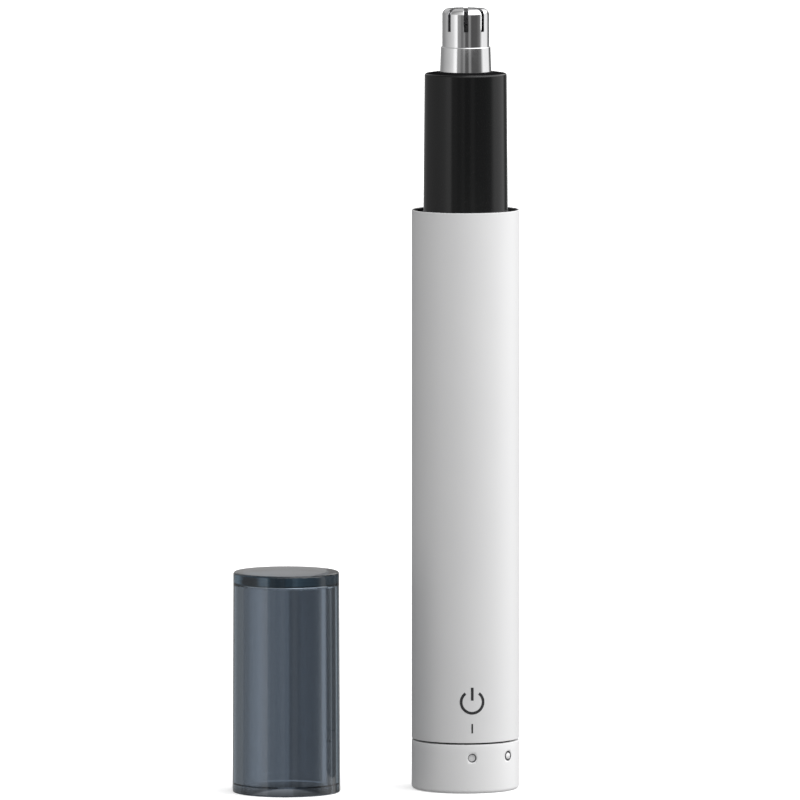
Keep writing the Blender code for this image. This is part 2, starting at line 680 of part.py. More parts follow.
def make_cap(stand):
    """The clear cap: a slightly tapered cup standing on its open rim, relieved inside for the collar's foot."""
    edge, corner = 0.45, 0.6
    profile = [
        (0, CAP_HEIGHT),
        *arc((CAP_TOP_RADIUS - edge, CAP_HEIGHT - edge), edge, 90, 0),
        (CASE_RADIUS, 0.3),
        (CASE_RADIUS - 0.3, 0),
        (CAP_RIM_BORE + 0.45, 0),
        (CAP_RIM_BORE + 0.25, 0.2),
        (CAP_RIM_BORE + 0.25, 1.5),
        (CAP_RIM_BORE, 1.75),
        *arc((CAP_TOP_BORE - corner, CAP_CEILING - corner), corner, 0, 90),
        (0, CAP_CEILING),
    ]
    turned("cap_shell", profile, smoke_clear, stand)


def smooth_round_faces():
    """Applies each piece's modifiers, then shades its round faces smooth and keeps its corners sharp."""
    bpy.context.view_layer.update()
    graph = bpy.context.evaluated_depsgraph_get()
    for piece in [p for p in parts.objects if p.type == "MESH"]:
        mesh = bpy.data.meshes.new_from_object(piece.evaluated_get(graph))
        piece.modifiers.clear()
        piece.data = mesh
        mesh.name = piece.name
        mesh.shade_smooth()
        mesh.set_sharp_from_angle(angle=math.radians(32))


make_barrel()
make_collar()
make_shaft_seal()
make_motor_cradle()
make_battery_sleeve()
make_lock_ring()
make_cell_and_contacts()
make_motor_housing()
make_wiring()
make_motor_screws()
make_rotor(axis("drive_axis"))
make_head(axis("head_axis"))
make_blade(axis("blade_axis"))
base_axis = axis("base_axis")
make_base_shell(base_axis)
make_base_plug(base_axis)
make_base_contacts(base_axis)
make_cap(axis("cap_axis", (*CAP_STAND, 0)))
smooth_round_faces()
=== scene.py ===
"""The looks of the nose hair trimmer: a finished piece for every part that shows, built round the frame."""

import json
import math

import bpy
from mathutils import Matrix, Vector


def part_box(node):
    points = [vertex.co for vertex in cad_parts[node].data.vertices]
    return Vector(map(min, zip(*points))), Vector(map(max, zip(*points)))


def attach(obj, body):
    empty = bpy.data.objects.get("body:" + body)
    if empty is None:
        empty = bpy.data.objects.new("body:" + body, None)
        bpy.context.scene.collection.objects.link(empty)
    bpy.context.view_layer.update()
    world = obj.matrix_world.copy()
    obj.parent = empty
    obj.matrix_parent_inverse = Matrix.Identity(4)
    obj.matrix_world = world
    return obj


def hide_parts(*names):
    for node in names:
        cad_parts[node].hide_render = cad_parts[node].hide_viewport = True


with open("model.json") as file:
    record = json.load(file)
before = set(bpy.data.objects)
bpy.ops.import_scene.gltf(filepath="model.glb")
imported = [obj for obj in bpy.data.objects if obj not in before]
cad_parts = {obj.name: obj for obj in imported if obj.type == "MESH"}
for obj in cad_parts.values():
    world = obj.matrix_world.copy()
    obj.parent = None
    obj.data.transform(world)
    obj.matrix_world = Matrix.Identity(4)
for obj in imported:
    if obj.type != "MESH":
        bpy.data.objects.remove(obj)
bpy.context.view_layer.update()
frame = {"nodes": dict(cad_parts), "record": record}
bpy.ops.object.select_all(action="DESELECT")


# ------------------------------------------------------------------ the camera
# It stands well back with a long lens, a little above the head and a little to the
# left of the index, and takes in both the trimmer and its cap.

MM = 0.001
CAMERA_TURN = math.radians(-7)
CAMERA_RISE = math.radians(5.2)
CAMERA_DISTANCE = 2.64
VIEW_WIDTH = 148.3 * MM
VIEW_HEIGHT = 72.35 * MM
VIEW_ASIDE = -12.15 * MM

camera_right = Vector((math.cos(CAMERA_TURN), math.sin(CAMERA_TURN), 0))
camera_back = Vector((
    math.sin(CAMERA_TURN) * math.cos(CAMERA_RISE),
    -math.cos(CAMERA_TURN) * math.cos(CAMERA_RISE),
    math.sin(CAMERA_RISE),
))
looked_at = Vector((0, 0, VIEW_HEIGHT)) + camera_right * VIEW_ASIDE
camera_data = bpy.data.cameras.new("camera")
camera_data.sensor_width = 36
camera_data.lens = camera_data.sensor_width * CAMERA_DISTANCE / VIEW_WIDTH
camera_data.clip_start = 0.1
camera = bpy.data.objects.new("camera", camera_data)
bpy.context.scene.collection.objects.link(camera)
camera.location = looked_at + camera_back * CAMERA_DISTANCE
camera.rotation_euler = camera_back.to_track_quat("Z", "Y").to_euler()
bpy.context.scene.camera = camera


# -------------------------------------------------------------------- the case
# A straight aluminium tube in satin white lacquer. It is cut square, its rim is turned out
# to a thin lip that the neck's shoulder drops into, and both its edges are broken.


def bend(centre, radius, start, stop, points=7):
    """The points of an arc in an outline, its angles in degrees from straight outwards."""
    angles = [math.radians(start + (stop - start) * i / (points - 1)) for i in range(points)]
    return [(centre[0] + radius * math.cos(a), centre[1] + radius * math.sin(a)) for a in angles]


def lathe(name, outline, steps=160, about=(0, 0)):
    """Draws an outline of (radius, height) points in millimetres, then spins it round an upright axis.

    An outline that starts and ends on the axis makes a solid, and any other makes a ring.
    """
    is_solid = outline[0][0] == 0 and outline[-1][0] == 0
    if not is_solid:
        outline = outline + outline[:1]
    bpy.ops.mesh.primitive_plane_add(size=MM, location=(0, 0, 0))
    piece = bpy.context.object
    piece.name = name
    bpy.ops.object.mode_set(mode="EDIT")
    bpy.ops.mesh.select_all(action="SELECT")
    bpy.ops.mesh.merge(type="CENTER")
    bpy.ops.transform.translate(value=(about[0] + outline[0][0] * MM, about[1], outline[0][1] * MM))
    for (r0, z0), (r1, z1) in zip(outline, outline[1:]):
        step = ((r1 - r0) * MM, 0, (z1 - z0) * MM)
        bpy.ops.mesh.extrude_region_move(TRANSFORM_OT_translate={"value": step})
    bpy.ops.mesh.select_all(action="SELECT")
    bpy.ops.mesh.remove_doubles(threshold=0.001 * MM)
    bpy.ops.mesh.spin(steps=steps, angle=math.tau, center=(*about, 0), axis=(0, 0, 1))
    bpy.ops.mesh.select_all(action="SELECT")
    bpy.ops.mesh.remove_doubles(threshold=0.001 * MM)
    bpy.ops.mesh.normals_make_consistent(inside=False)
    bpy.ops.object.mode_set(mode="OBJECT")
    bpy.ops.object.shade_smooth_by_angle(angle=math.radians(32))
    return piece


def heights(node):
    """The lowest and highest height of a node of the frame, in millimetres."""
    low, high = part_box(node)
    return low[2] / MM, high[2] / MM


def widest(node):
    """Half the width of a round node of the frame, in millimetres."""
    low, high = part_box(node)
    return (high[0] - low[0]) / 2 / MM


class Signal:
    """One output in a material's graph, so that a pattern reads as a sum of others."""

    def __init__(self, tree, socket=None):
        self.tree = tree
        self.socket = socket

    def make(self, kind, settings, inputs, output=0):
        """Adds a node: its settings first, then a value or a signal for each input."""
        node = self.tree.nodes.new("ShaderNode" + kind)
        for key, value in settings.items():
            if key == "stops":
                while len(node.color_ramp.elements) < len(value):
                    node.color_ramp.elements.new(0.5)
                for element, (position, grey) in zip(node.color_ramp.elements, value):
                    element.position = position
                    element.color = (grey, grey, grey, 1)
            else:
                setattr(node, key, value)
        for key, value in inputs.items():
            if isinstance(value, Signal):
                self.tree.links.new(value.socket, node.inputs[key])
            else:
                node.inputs[key].default_value = value
        return Signal(self.tree, node.outputs[output])

    def sum_with(self, operation, first, second=0.0):
        return self.make("Math", {"operation": operation}, {0: first, 1: second})

    def __add__(self, other):
        return self.sum_with("ADD", self, other)

    def __radd__(self, other):
        return self.sum_with("ADD", other, self)

    def __sub__(self, other):
        return self.sum_with("SUBTRACT", self, other)

    def __rsub__(self, other):
        return self.sum_with("SUBTRACT", other, self)

    def __mul__(self, other):
        return self.sum_with("MULTIPLY", self, other)

    def __rmul__(self, other):
        return self.sum_with("MULTIPLY", other, self)

    def above(self, level, softness):
        """0 below a level and 1 above it, with a soft step between."""
        ends = {"Value": self, "From Min": level - softness, "From Max": level + softness}
        return self.make("MapRange", {"interpolation_type": "SMOOTHSTEP"}, ends)

    def colour(self, low, high):
        """From one colour to another as this signal goes from 0 to 1."""
        ends = {0: self, 6: (*low, 1), 7: (*high, 1)}
        return self.make("Mix", {"data_type": "RGBA"}, ends, output=2)

    def noise(self, scale, detail, stretch=(1, 1, 1)):
        """Noise from 0 to 1 at this many bumps to the metre, finer where the stretch is larger."""
        place = self.make("Mapping", {}, {"Vector": self, "Scale": stretch})
        return place.make("TexNoise", {}, {"Vector": place, "Scale": scale, "Detail": detail})

    def part(self, axis):
        """One coordinate of a place, in metres."""
        return self.make("SeparateXYZ", {}, {"Vector": self}, output="XYZ".index(axis))

    def bump(self, depth, strength):
        """The normal of a surface whose relief follows this signal, this many metres deep."""
        return self.make("Bump", {}, {"Height": self, "Strength": strength, "Distance": depth})


def new_finish(name, **sockets):
    """A material with these values on its Principled shader, and the signal of a place on the piece."""
    material = bpy.data.materials.new(name)
    material.use_nodes = True
    shader = material.node_tree.nodes["Principled BSDF"]
    for key, value in sockets.items():
        shader.inputs[key.replace("_", " ")].default_value = value
    place = Signal(material.node_tree).make("TexCoord", {}, {}, output=3)

    def feed(**signals):
        for key, signal in signals.items():
            material.node_tree.links.new(signal.socket, shader.inputs[key.replace("_", " ")])

    return material, place, feed


def satin_white_lacquer():
    """Sprayed lacquer: the faint orange peel of the spray, fine grain, and streaks polished by handling."""
    material, place, feed = new_finish("satin_white_lacquer", IOR=1.45)
    peel = place.noise(900, 2)
    grain = place.noise(9000, 1)
    streaks = place.noise(160, 3, (1, 1, 0.12))
    feed(
        Base_Color=place.noise(60, 3).colour((0.765, 0.765, 0.77), (0.81, 0.81, 0.812)),
        Roughness=0.33 + 0.1 * streaks + 0.05 * grain,
        Normal=(peel + 0.12 * grain).bump(0.006 * MM, 0.6),
    )
    return material


def dress(piece, material, body, slot, *nodes):
    """Gives a finished piece its material, the body it rides on and the nodes that it stands for."""
    piece.data.materials.clear()
    piece.data.materials.append(material)
    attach(piece, body)
    if nodes:
        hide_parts(*nodes)


case_foot, case_top = heights("barrel")
case_radius = widest("barrel")
LIP_WALL = 0.25
BORE_RADIUS = 9.1
LIP_DEPTH = 1.3

case_outline = [
    (case_radius - LIP_WALL, case_top - 0.06),
    (case_radius - LIP_WALL + 0.06, case_top),
    *bend((case_radius - 0.12, case_top - 0.12), 0.12, 90, 0),
    *bend((case_radius - 0.1, case_foot + 0.1), 0.1, 0, -90, 5),
    (BORE_RADIUS, case_foot),
    (BORE_RADIUS, case_top - LIP_DEPTH),
    (case_radius - LIP_WALL, case_top - LIP_DEPTH),
]
lacquer = satin_white_lacquer()
case_tube = lathe("case_tube", case_outline)
dress(case_tube, lacquer, "handle", "white_case", "barrel")


# ------------------------------------------------------- the print on the case
# A plain on-off sign and the index line over the base, pad printed in dark grey ink. Each is
# drawn flat in front of the case, laid on to it, and given the ink's thickness.

INK = 0.03
SIGN_HEIGHT = 17.1
SIGN_RADIUS = 2.05
SIGN_BAR_LOW, SIGN_BAR_HIGH = 0.3, 2.7
SIGN_STROKE = 0.5
SIGN_OPENING = math.radians(38)
INDEX_LOW, INDEX_HIGH, INDEX_WIDTH = 11.3, 13.05, 0.3


def printing_ink(name, dark, light):
    """Grey ink, a little uneven in its cover and duller than the lacquer."""
    material, place, feed = new_finish(name, IOR=1.45)
    cover = place.noise(2600, 3)
    feed(
        Base_Color=cover.colour(dark, light),
        Roughness=0.42 + 0.16 * cover,
        Normal=cover.bump(0.004 * MM, 0.5),
    )
    return material


def lay_on_case(piece):
    """Projects a flat drawing back on to the case and gives it the thickness of the ink."""
    bpy.context.view_layer.objects.active = piece
    wrap = piece.modifiers.new("wrap", "SHRINKWRAP")
    wrap.wrap_method = "PROJECT"
    wrap.use_project_y = True
    wrap.use_negative_direction = False
    wrap.use_positive_direction = True
    wrap.target = case_tube
    wrap.offset = 0.002 * MM
    bpy.ops.object.modifier_apply(modifier="wrap")
    film = piece.modifiers.new("film", "SOLIDIFY")
    film.thickness = INK * MM
    film.offset = 1
    bpy.ops.object.modifier_apply(modifier="film")
    bpy.ops.object.shade_smooth_by_angle(angle=math.radians(40))


def flat_bar(name, centre_height, width, height):
    """An upright bar drawn flat in front of the case, cut finely enough to follow it."""
    bpy.ops.mesh.primitive_plane_add(size=1, location=(0, -12 * MM, centre_height * MM))
    piece = bpy.context.object
    piece.name = name
    bpy.ops.object.mode_set(mode="EDIT")
    bpy.ops.mesh.select_all(action="SELECT")
    middle = piece.location
    turn = Matrix.Rotation(math.radians(90), 3, "X")
    bpy.ops.object.mode_set(mode="OBJECT")
    for vertex in piece.data.vertices:
        vertex.co = turn @ Vector((vertex.co.x * width * MM, vertex.co.y * height * MM, 0)) + middle
    piece.location = (0, 0, 0)
    bpy.ops.object.mode_set(mode="EDIT")
    bpy.ops.mesh.select_all(action="SELECT")
    bpy.ops.mesh.subdivide(number_cuts=5)
    bpy.ops.object.mode_set(mode="OBJECT")
    return piece


def open_ring(name, centre_height, radius, stroke, opening):
    """A ring drawn flat in front of the case, open at its top by an angle to each side."""
    inner, outer = radius - stroke / 2, radius + stroke / 2
    bpy.ops.mesh.primitive_plane_add(size=MM, location=(0, 0, 0))
    piece = bpy.context.object
    piece.name = name
    bpy.ops.object.mode_set(mode="EDIT")
    bpy.ops.mesh.select_all(action="SELECT")
    bpy.ops.mesh.merge(type="CENTER")
    across, up = math.sin(opening), math.cos(opening)
    start = (inner * across * MM, -12 * MM, (centre_height + inner * up) * MM)
    bpy.ops.transform.translate(value=start)
    step = (stroke * across * MM, 0, stroke * up * MM)
    bpy.ops.mesh.extrude_region_move(TRANSFORM_OT_translate={"value": step})
    bpy.ops.mesh.select_all(action="SELECT")
    middle = (0, -12 * MM, centre_height * MM)
    bpy.ops.mesh.spin(steps=64, angle=math.tau - 2 * opening, center=middle, axis=(0, -1, 0))
    bpy.ops.mesh.select_all(action="SELECT")
    bpy.ops.mesh.flip_normals()
    bpy.ops.object.mode_set(mode="OBJECT")
    return piece


ink = printing_ink("printing_ink", (0.018, 0.018, 0.02), (0.04, 0.04, 0.042))
sign_ring = open_ring("sign_ring", SIGN_HEIGHT, SIGN_RADIUS, SIGN_STROKE, SIGN_OPENING)
sign_bar_middle = SIGN_HEIGHT + (SIGN_BAR_LOW + SIGN_BAR_HIGH) / 2
sign_bar = flat_bar("sign_bar", sign_bar_middle, SIGN_STROKE, SIGN_BAR_HIGH - SIGN_BAR_LOW)
index_line = flat_bar("index_line", (INDEX_LOW + INDEX_HIGH) / 2, INDEX_WIDTH, INDEX_HIGH - INDEX_LOW)
for print_piece in (sign_ring, sign_bar, index_line):
    lay_on_case(print_piece)
    dress(print_piece, ink, "handle", "black_nylon")


# -------------------------------------------------------------------- the base
# The twist base is a moulded cup in the same lacquer. A dot, a ring and a bar are sunk in
# its wall for off, on and open, with dark grey painted into them as painted shade of the recesses, all but
# the dot's floor. The foot has a soft round edge.

base_foot, base_top = heights("base_shell")
FOOT_ROUND = 0.7
MARK_HEIGHT = 6.67
MARK_RADIUS = 0.92
MARK_DEPTH = 0.55
DOT_DEPTH = 0.4
MARK_STEP = math.radians(45)
CUP_BORE, CUP_FLOOR = 8.8, 1.3

base_outline = [
    (0, 0.9), (1.35, 0.9), (1.35, 3.6), (3.0, 3.6),
    (3.0, CUP_FLOOR), (CUP_BORE, CUP_FLOOR), (CUP_BORE, base_top),
    *bend((case_radius - 0.12, base_top - 0.12), 0.12, 90, 0, 5),
    (case_radius, MARK_HEIGHT + 1.2),
    (case_radius, MARK_HEIGHT),
    (case_radius, MARK_HEIGHT - 1.2),
    *bend((case_radius - FOOT_ROUND, FOOT_ROUND), FOOT_ROUND, 0, -90, 12),
    (0, base_foot),
]


def carve(piece, tool):
    """Cuts a tool out of a piece, for good."""
    bpy.context.view_layer.objects.active = piece
    cutting = piece.modifiers.new("cutting", "BOOLEAN")
    cutting.operation = "DIFFERENCE"
    cutting.solver = "EXACT"
    cutting.object = tool
    bpy.ops.object.modifier_apply(modifier="cutting")
    bpy.data.objects.remove(tool, do_unlink=True)


def stand_on_case(piece, turn, height):
    """Moves a tool made upright at the origin to the wall of the case, pointing outwards."""
    place = (
        Matrix.Rotation(turn, 4, "Z")
        @ Matrix.Translation((0, -case_radius * MM, height * MM))
        @ Matrix.Rotation(math.radians(90), 4, "X")
    )
    piece.data.transform(place)


def round_mark(outer, inner, floor_radius, depth):
    """The tool for a sunk ring, or for a sunk dot if its inner radius is nothing."""
    outline = [(inner, 0.3), (outer, 0.3), (outer, 0), (floor_radius, -depth), (inner, -depth)]
    return lathe("mark_tool", outline, 48)


base_cup = lathe("base_cup", base_outline)
dot_tool = round_mark(MARK_RADIUS - 0.1, 0, MARK_RADIUS - 0.3, DOT_DEPTH)
stand_on_case(dot_tool, 0, MARK_HEIGHT)
ring_tool = round_mark(MARK_RADIUS, MARK_RADIUS - 0.3, MARK_RADIUS, MARK_DEPTH)
stand_on_case(ring_tool, MARK_STEP, MARK_HEIGHT)
bpy.ops.mesh.primitive_cube_add(size=1)
bar_tool = bpy.context.object
bar_tool.data.transform(Matrix.Diagonal((0.36 * MM, 2 * MARK_RADIUS * MM, 2 * MARK_DEPTH * MM, 1)))
stand_on_case(bar_tool, 2 * MARK_STEP, MARK_HEIGHT)
for mark_tool in (dot_tool, ring_tool, bar_tool):
    carve(base_cup, mark_tool)
bpy.ops.object.shade_smooth_by_angle(angle=math.radians(32))
dress(base_cup, lacquer, "base", "white_case", "base_shell")
# Dark grey on the sunk walls and grooves of the marks is painted shade of the recesses; the dot's floor keeps
# the lacquer.
base_cup.data.materials.append(printing_ink("painted_recess_shade", (0.09, 0.09, 0.095), (0.14, 0.14, 0.145)))
for face in base_cup.data.polygons:
    depth = case_radius - face.center.xy.length / MM
    is_sunk = 0.02 < depth < 0.7 and abs(face.center.z / MM - MARK_HEIGHT) < MARK_RADIUS + 0.05
    is_dot_floor = abs(face.center.x / MM) < MARK_RADIUS and depth > DOT_DEPTH - 0.05
    face.material_index = int(is_sunk and not is_dot_floor)


# ---------------------------------------------------------------- the black neck
# The collar that the cap slides over, moulded in gloss black. Its shoulder fills the mouth of
# the case, and the cutting head plugs into the socket in its top.

neck_foot, neck_top = heights("collar")
SHOULDER_TOP = case_top - 0.15
SHOULDER_RADIUS = widest("collar")
NECK_ROUND = 0.4
NECK_CROWN = 0.3  # its top falls by this much to its edge
NECK_RADIUS_LOW, NECK_RADIUS_HIGH = 7.83, 7.62
SOCKET_RADIUS, SOCKET_FLOOR = 5.0, 125.3

neck_outline = [
    *bend((SOCKET_RADIUS + 0.2, neck_top - 0.2), 0.2, 180, 90, 5),
    *bend((NECK_RADIUS_HIGH - NECK_ROUND, neck_top - NECK_CROWN - NECK_ROUND), NECK_ROUND, 90, 0, 9),
    (NECK_RADIUS_LOW, SHOULDER_TOP + 0.12),
    *bend((NECK_RADIUS_LOW + 0.12, SHOULDER_TOP + 0.12), 0.12, 180, 270, 4)[1:],
    *bend((SHOULDER_RADIUS - 0.15, SHOULDER_TOP - 0.15), 0.15, 90, 0, 5),
    (SHOULDER_RADIUS, SHOULDER_TOP - 0.95),
    (9.0, SHOULDER_TOP - 0.95),
    (9.0, neck_foot),
    (8.0, neck_foot),
    (8.0, 106.0),
    (6.6, 107.4),
    (6.6, neck_top - 1.6),
    (5.9, neck_top - 1.6),
    (5.9, SOCKET_FLOOR - 1.5),
    (2.4, SOCKET_FLOOR - 1.5),
    (2.4, SOCKET_FLOOR),
    (SOCKET_RADIUS, SOCKET_FLOOR),
]


def gloss_black():
    """Polished black plastic with fine wiping marks round it and a trace of dust."""
    material, place, feed = new_finish("gloss_black", Specular_IOR_Level=0.3, IOR=1.5)
    wiping = place.noise(420, 4, (1, 1, 9))
    dust = place.noise(6000, 1).above(0.68, 0.05)
    feed(
        Base_Color=dust.colour((0.0085, 0.0088, 0.009), (0.016, 0.016, 0.016)),
        Roughness=0.1 + 0.09 * wiping + 0.05 * dust,
        Normal=wiping.bump(0.002 * MM, 0.35),
    )
    return material


def top_painted_shade_black():
    """The same plastic with a fine spark grain that mirrors next to nothing: a copy put on the upward faces
    as painted shade, to keep the neck's top dark.
    """
    material, place, feed = new_finish("top_painted_shade_black", Specular_IOR_Level=0.0)
    spark = place.noise(5200, 2)
    feed(
        Base_Color=spark.colour((0.006, 0.006, 0.0065), (0.012, 0.012, 0.0125)),
        Roughness=0.75 + 0.1 * spark,
        Normal=spark.bump(0.01 * MM, 0.5),
    )
    return material


neck = lathe("neck", neck_outline)
dress(neck, gloss_black(), "handle", "black_gloss", "collar")
neck.data.materials.append(top_painted_shade_black())
# The faces looking up get the copy that mirrors nothing, as painted shade on the neck's top.
for face in neck.data.polygons:
    looks_up = face.normal.z > 0.95
    face.material_index = int(looks_up)


# ------------------------------------------------------------- the cutting head
# The bright skirt and the slotted cage are turned and polished steel. Hair goes in through
# the eight slots, which run over the cage's rounded top, to the cutter that spins inside.

skirt_foot, skirt_top = heights("head_skirt")
cage_foot, cage_top = heights("outer_blade")
skirt_radius = widest("head_skirt")
cage_radius = widest("outer_blade")
CAGE_WALL = 0.28
CAGE_ROUND = 1.2
SLOTS = 8
SLOT_WIDTH = 0.78
SLOT_FOOT = 140.9
SLOT_PHASE = math.radians(-6.5)
SKIRT_LIP_RADIUS = 4.62

skirt_outline = [
    (4.45, skirt_top - 0.04),
    (4.49, skirt_top),
    *bend((SKIRT_LIP_RADIUS - 0.13, skirt_top - 0.13), 0.13, 90, 5, 6),
    (skirt_radius, neck_top),
    (skirt_radius, skirt_foot + 0.1),
    (skirt_radius - 0.1, skirt_foot),
    (4.5, skirt_foot),
    (4.5, skirt_top - 0.2),
    (4.45, skirt_top - 0.2),
]
cage_corner = (cage_radius - CAGE_ROUND, cage_top - CAGE_ROUND)
cage_outline = [
    (0, cage_top),
    (1.3, cage_top),
    *bend(cage_corner, CAGE_ROUND, 90, 0, 14),
    (cage_radius, SLOT_FOOT),
    (cage_radius, cage_foot),
    (cage_radius - CAGE_WALL, cage_foot),
    (cage_radius - CAGE_WALL, SLOT_FOOT),
    *bend(cage_corner, CAGE_ROUND - CAGE_WALL, 0, 90, 14),
    (1.3, cage_top - CAGE_WALL),
    (0, cage_top - CAGE_WALL),
]


def polished_steel():
    """Mirror-polished steel that keeps the finest rings of its turning, and a few smudges."""
    material, place, feed = new_finish("polished_steel", Metallic=1.0)
    rings = place.noise(500, 3, (0.2, 0.2, 26))
    smudges = place.noise(420, 3)
    feed(
        Base_Color=smudges.colour((0.74, 0.74, 0.75), (0.84, 0.84, 0.845)),
        Roughness=0.05 + 0.07 * smudges + 0.04 * rings,
        Normal=rings.bump(0.0012 * MM, 0.35),
    )
    return material


def soften_edges(piece, width):
    """Breaks a piece's sharp edges with a small round, as tumbling does, and keeps its large faces true."""
    bpy.context.view_layer.objects.active = piece
    breaking = piece.modifiers.new("breaking", "BEVEL")
    breaking.width = width * MM
    breaking.segments = 2
    breaking.limit_method = "ANGLE"
    breaking.angle_limit = math.radians(35)
    breaking.use_clamp_overlap = True
    bpy.ops.object.modifier_apply(modifier="breaking")
    bpy.ops.object.shade_smooth_by_angle(angle=math.radians(40))
    trueing = piece.modifiers.new("trueing", "WEIGHTED_NORMAL")
    trueing.keep_sharp = True
    bpy.ops.object.modifier_apply(modifier="trueing")


steel = polished_steel()
skirt = lathe("skirt", skirt_outline, 128)
dress(skirt, steel, "cutter_head", "polished_steel", "head_skirt")

cage = lathe("cage", cage_outline, 128)
for slot in range(SLOTS):
    bpy.ops.mesh.primitive_cube_add(size=1)
    slot_tool = bpy.context.object
    slot_tool.data.transform(Matrix.Diagonal((4.6 * MM, SLOT_WIDTH * MM, 6 * MM, 1)))
    slot_tool.data.transform(Matrix.Translation(((1.4 + 2.3) * MM, 0, (SLOT_FOOT + 3) * MM)))
    slot_tool.data.transform(Matrix.Rotation(SLOT_PHASE + math.tau * (slot / SLOTS - 0.25), 4, "Z"))
    carve(cage, slot_tool)
soften_edges(cage, 0.045)
dress(cage, steel, "cutter_head", "polished_steel", "outer_blade")


# ------------------------------------------------------------ the spinning cutter
# A ground steel cup with three wide gaps, whose edges shear hair against the slots. It sits
# on a moulded carrier with a square socket, which a clip holds in the head.

GAPS = 3
GAP_WIDTH = 3.7
GAP_PHASE = math.radians(16)

cutter_foot, cutter_top = heights("inner_blade")
carrier_foot, carrier_top = heights("blade_carrier")
cutter_outline = [
    (0, cutter_top),
    (1.2, cutter_top),
    *bend(cage_corner, CAGE_ROUND - CAGE_WALL - 0.15, 90, 0, 10),
    (cage_corner[0] + CAGE_ROUND - CAGE_WALL - 0.15, cutter_foot),
    (cage_corner[0] + CAGE_ROUND - CAGE_WALL - 0.5, cutter_foot),
    *bend(cage_corner, CAGE_ROUND - CAGE_WALL - 0.5, 0, 90, 10),
    (1.2, cutter_top - 0.35),
    (0, cutter_top - 0.35),
]
carrier_outline = [
    (0, carrier_top), (1.15, carrier_top), (1.6, carrier_top - 1.0), (3.45, carrier_top - 1.0), (3.45, 139.3),
    (3.8, 139.3), (3.85, 139.25), (3.85, 138.4), (2.4, 138.0), (2.4, 128.8), (2.0, 128.8), (2.0, 128.2),
    (2.4, 128.2), (2.4, 127.7), (2.3, carrier_foot), (0, carrier_foot),
]


def ground_steel():
    """Hardened steel, ground in straight fine lines that leave it bright but not a mirror."""
    material, place, feed = new_finish("ground_steel", Metallic=1.0)
    lines = place.noise(900, 3, (1, 14, 1))
    feed(
        Base_Color=lines.colour((0.42, 0.42, 0.44), (0.62, 0.62, 0.64)),
        Roughness=0.22 + 0.16 * lines,
        Normal=lines.bump(0.003 * MM, 0.6),
    )
    return material


def moulded(name, dark, light, roughness, grain=0.01):
    """A moulded plastic or rubber: spark-eroded grain from its mould and a slow change of tone."""
    material, place, feed = new_finish(name)
    spark = place.noise(5200, 2)
    feed(
        Base_Color=place.noise(240, 3).colour(dark, light),
        Roughness=roughness - 0.06 + 0.12 * spark,
        Normal=spark.bump(grain * MM, 0.5),
    )
    return material


blade_steel = ground_steel()
white_nylon = moulded("white_nylon", (0.7, 0.7, 0.67), (0.79, 0.79, 0.76), 0.45)
black_nylon = moulded("black_nylon", (0.018, 0.018, 0.019), (0.03, 0.03, 0.031), 0.48)
black_rubber = moulded("black_rubber", (0.012, 0.012, 0.012), (0.022, 0.022, 0.022), 0.7, 0.02)

cutter = lathe("cutter", cutter_outline, 112)
for gap in range(GAPS):
    bpy.ops.mesh.primitive_cube_add(size=1)
    gap_tool = bpy.context.object
    gap_tool.data.transform(Matrix.Diagonal((4 * MM, GAP_WIDTH * MM, 6 * MM, 1)))
    gap_tool.data.transform(Matrix.Translation((4 * MM, 0, 143.7 * MM)))
    gap_tool.data.transform(Matrix.Rotation(GAP_PHASE + math.tau * (gap / GAPS - 0.25), 4, "Z"))
    carve(cutter, gap_tool)
soften_edges(cutter, 0.02)
dress(cutter, blade_steel, "blade", "blade_steel", "inner_blade")

carrier = lathe("carrier", carrier_outline, 72)
bpy.ops.mesh.primitive_cube_add(size=1)
socket_tool = bpy.context.object
socket_tool.data.transform(Matrix.Diagonal((2 * MM, 2 * MM, 6 * MM, 1)))
socket_tool.data.transform(Matrix.Translation((0, 0, 130 * MM)))
carve(carrier, socket_tool)
soften_edges(carrier, 0.04)
dress(carrier, black_nylon, "blade", "black_nylon", "blade_carrier")


# ------------------------------------------------------- the plug under the head
# The black plug that the skirt and the cage are pressed on to, with a groove for the rubber
# ring that grips the neck's socket. Both show when the head is pulled off.

plug_foot, plug_top = heights("head_insert")
plug_outline = [
    (2.65, plug_top), (3.95, plug_top), (3.95, 129.4), (4.35, 129.4), (4.35, 126.9), (4.8, 126.9),
    (4.85, 126.85), (4.85, 126.55), (4.42, 126.55), (4.42, 126.05), (4.85, 126.05), (4.85, plug_foot + 0.08),
    (4.77, plug_foot), (3.18, plug_foot), (3.1, plug_foot + 0.08), (3.1, 129.0), (2.65, 129.0),
]
plug = lathe("head_plug", plug_outline, 96)
dress(plug, black_nylon, "cutter_head", "black_nylon", "head_insert")
grip_ring = lathe("grip_ring", bend((4.68, 126.3), 0.19, 90, -242, 13), 96)
dress(grip_ring, black_rubber, "cutter_head", "black_rubber", "head_seal")


# --------------------------------------------------------- the drive in the socket
# The moulded coupler that runs up through a rubber grommet from the motor. Its square tip is
# what turns the cutter, and it shows in the socket when the head is off.

